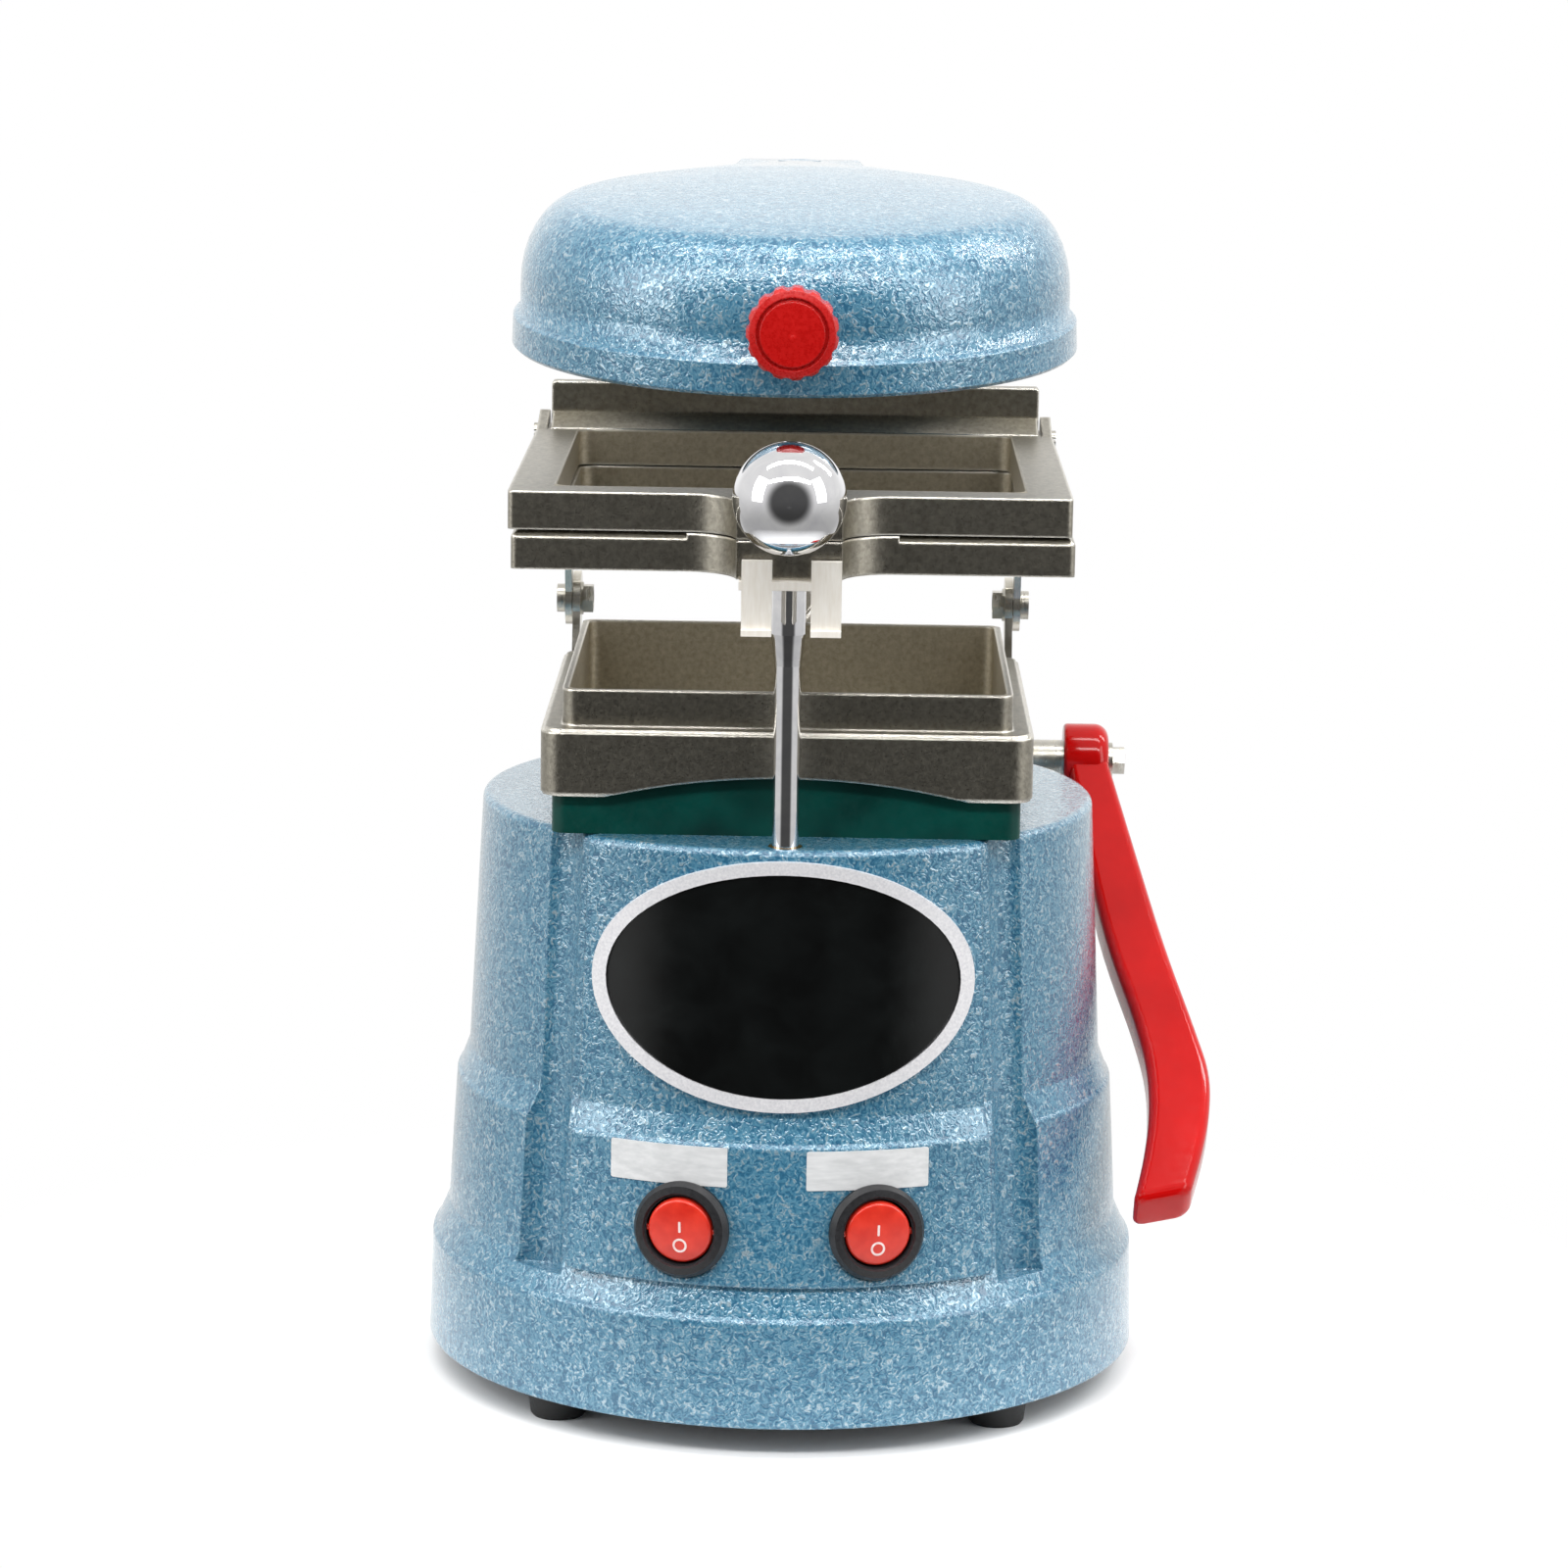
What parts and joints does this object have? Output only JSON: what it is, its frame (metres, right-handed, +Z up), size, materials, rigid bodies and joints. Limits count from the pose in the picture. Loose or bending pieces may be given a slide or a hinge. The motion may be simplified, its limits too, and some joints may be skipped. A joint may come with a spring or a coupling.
{
  "type": "dental vacuum former",
  "caption": "Tabletop dental vacuum forming machine with a swivelling heating head, sliding sheet clamp, forming box and side lever.",
  "frame": {"origin": "on the table plane, below the centre of the forming box and of the clamp frames", "axes": "+Z up, -Y towards the front with the switches, +X towards the side lever"},
  "size_m": [0.2075, 0.2376, 0.3167],
  "materials": {
    "body_paint": "light blue hammertone paint, satin",
    "nickel": "nickel plated, sandblasted with bright edges",
    "bright_nickel": "polished nickel plate",
    "chrome": "mirror chrome",
    "steel": "zinc plated steel",
    "dark_steel": "heat browned steel",
    "bronze": "sintered bronze",
    "foot_rubber": "black rubber",
    "gasket_rubber": "dark teal silicone rubber",
    "black_plastic": "black nylon",
    "black_gloss": "glossy black face",
    "oval_silver": "satin silver rim",
    "rocker_red": "translucent red",
    "lever_red": "glossy red enamel",
    "knob_red": "red plastic",
    "plate_paint": "dark grey paint",
    "motor_alloy": "cast alloy",
    "reflector": "polished sheet",
    "ceramic": "white ceramic"
  },
  "bodies": {
    "base": {"base_housing": "body_paint", "bottom_plate": "plate_paint", "rubber_feet": "foot_rubber", "foot_screws": "steel", "vacuum_motor": "motor_alloy", "motor_seal": "foot_rubber", "chamber_gasket": "gasket_rubber", "forming_box": "nickel", "model_plate": "steel", "oval_rim": "oval_silver", "oval_face": "black_gloss", "switch_bezels": "black_plastic", "cord_gland": "black_plastic", "fuse_holder": "black_plastic", "rod_bush": "bronze", "shaft_bushes": "bronze", "column": "chrome", "column_screws": "steel", "neck_screw": "steel"},
    "head": {"head_shell": "body_paint", "reflector_pan": "reflector", "heating_rod": "dark_steel", "heater_studs": "ceramic", "knob_stud": "steel"},
    "grip_knob": {"head_knob": "knob_red"},
    "clamp": {"carriage": "nickel", "slide_bush": "bronze", "lower_frame": "nickel", "frame_bolts": "steel", "rod_bracket": "bright_nickel", "bracket_screws": "steel", "guide_rod": "chrome", "hinge_screws": "steel"},
    "top_frame": {"upper_frame": "nickel", "ball_stud": "steel"},
    "ball": {"ball_knob": "chrome"},
    "lever": {"side_lever": "lever_red", "lever_screw": "steel", "cross_shaft": "steel", "cranks": "bright_nickel", "knee_bolts": "steel", "knee_nuts": "steel"},
    "link_pair": {"links": "bright_nickel", "link_pins": "steel"},
    "vacuum_switch": {"vacuum_rocker": "rocker_red"},
    "heat_switch": {"heat_rocker": "rocker_red"}
  },
  "joints": [
    {"name": "clamp_slide", "type": "slide", "parent": "base", "child": "clamp", "axis": [0, 0, 1], "range_m": [-0.041, 0]},
    {"name": "lever_turn", "type": "hinge", "parent": "base", "child": "lever", "pos_m": [0, 0.084, 0.1495], "axis": [1, 0, 0], "range_deg": [-42.1, 0]},
    {"name": "link_turn", "type": "hinge", "parent": "lever", "child": "link_pair", "pos_m": [0, 0.09861, 0.191], "axis": [1, 0, 0], "range_deg": [0, 84.2]},
    {"name": "top_frame_hinge", "type": "hinge", "parent": "clamp", "child": "top_frame", "pos_m": [0, 0.0736, 0.2413], "axis": [1, 0, 0], "range_deg": [-5, 0]},
    {"name": "ball_turn", "type": "hinge", "parent": "top_frame", "child": "ball", "pos_m": [0, -0.0984, 0.2466], "axis": [0, 1, 0], "range_deg": [-180, 180]},
    {"name": "head_swivel", "type": "hinge", "parent": "base", "child": "head", "pos_m": [0, 0.103, 0.29], "axis": [0, 0, 1], "range_deg": [-90, 90]},
    {"name": "grip_knob_turn", "type": "hinge", "parent": "head", "child": "grip_knob", "pos_m": [0, -0.08, 0.2856], "axis": [0, 1, 0], "range_deg": [-180, 180]},
    {"name": "vacuum_switch_tilt", "type": "hinge", "parent": "base", "child": "vacuum_switch", "pos_m": [-0.0247, -0.08378, 0.05822], "axis": [0.9686, -0.2485, 0], "range_deg": [-12, 0]},
    {"name": "heat_switch_tilt", "type": "hinge", "parent": "base", "child": "heat_switch", "pos_m": [0.0247, -0.08378, 0.05822], "axis": [0.9686, 0.2485, 0], "range_deg": [-12, 0]}
  ],
  "couplings": [
    {"joint": "lever_turn", "follows": "clamp_slide", "rad_per_m": 17.917},
    {"joint": "link_turn", "follows": "clamp_slide", "rad_per_m": -35.835}
  ]
}
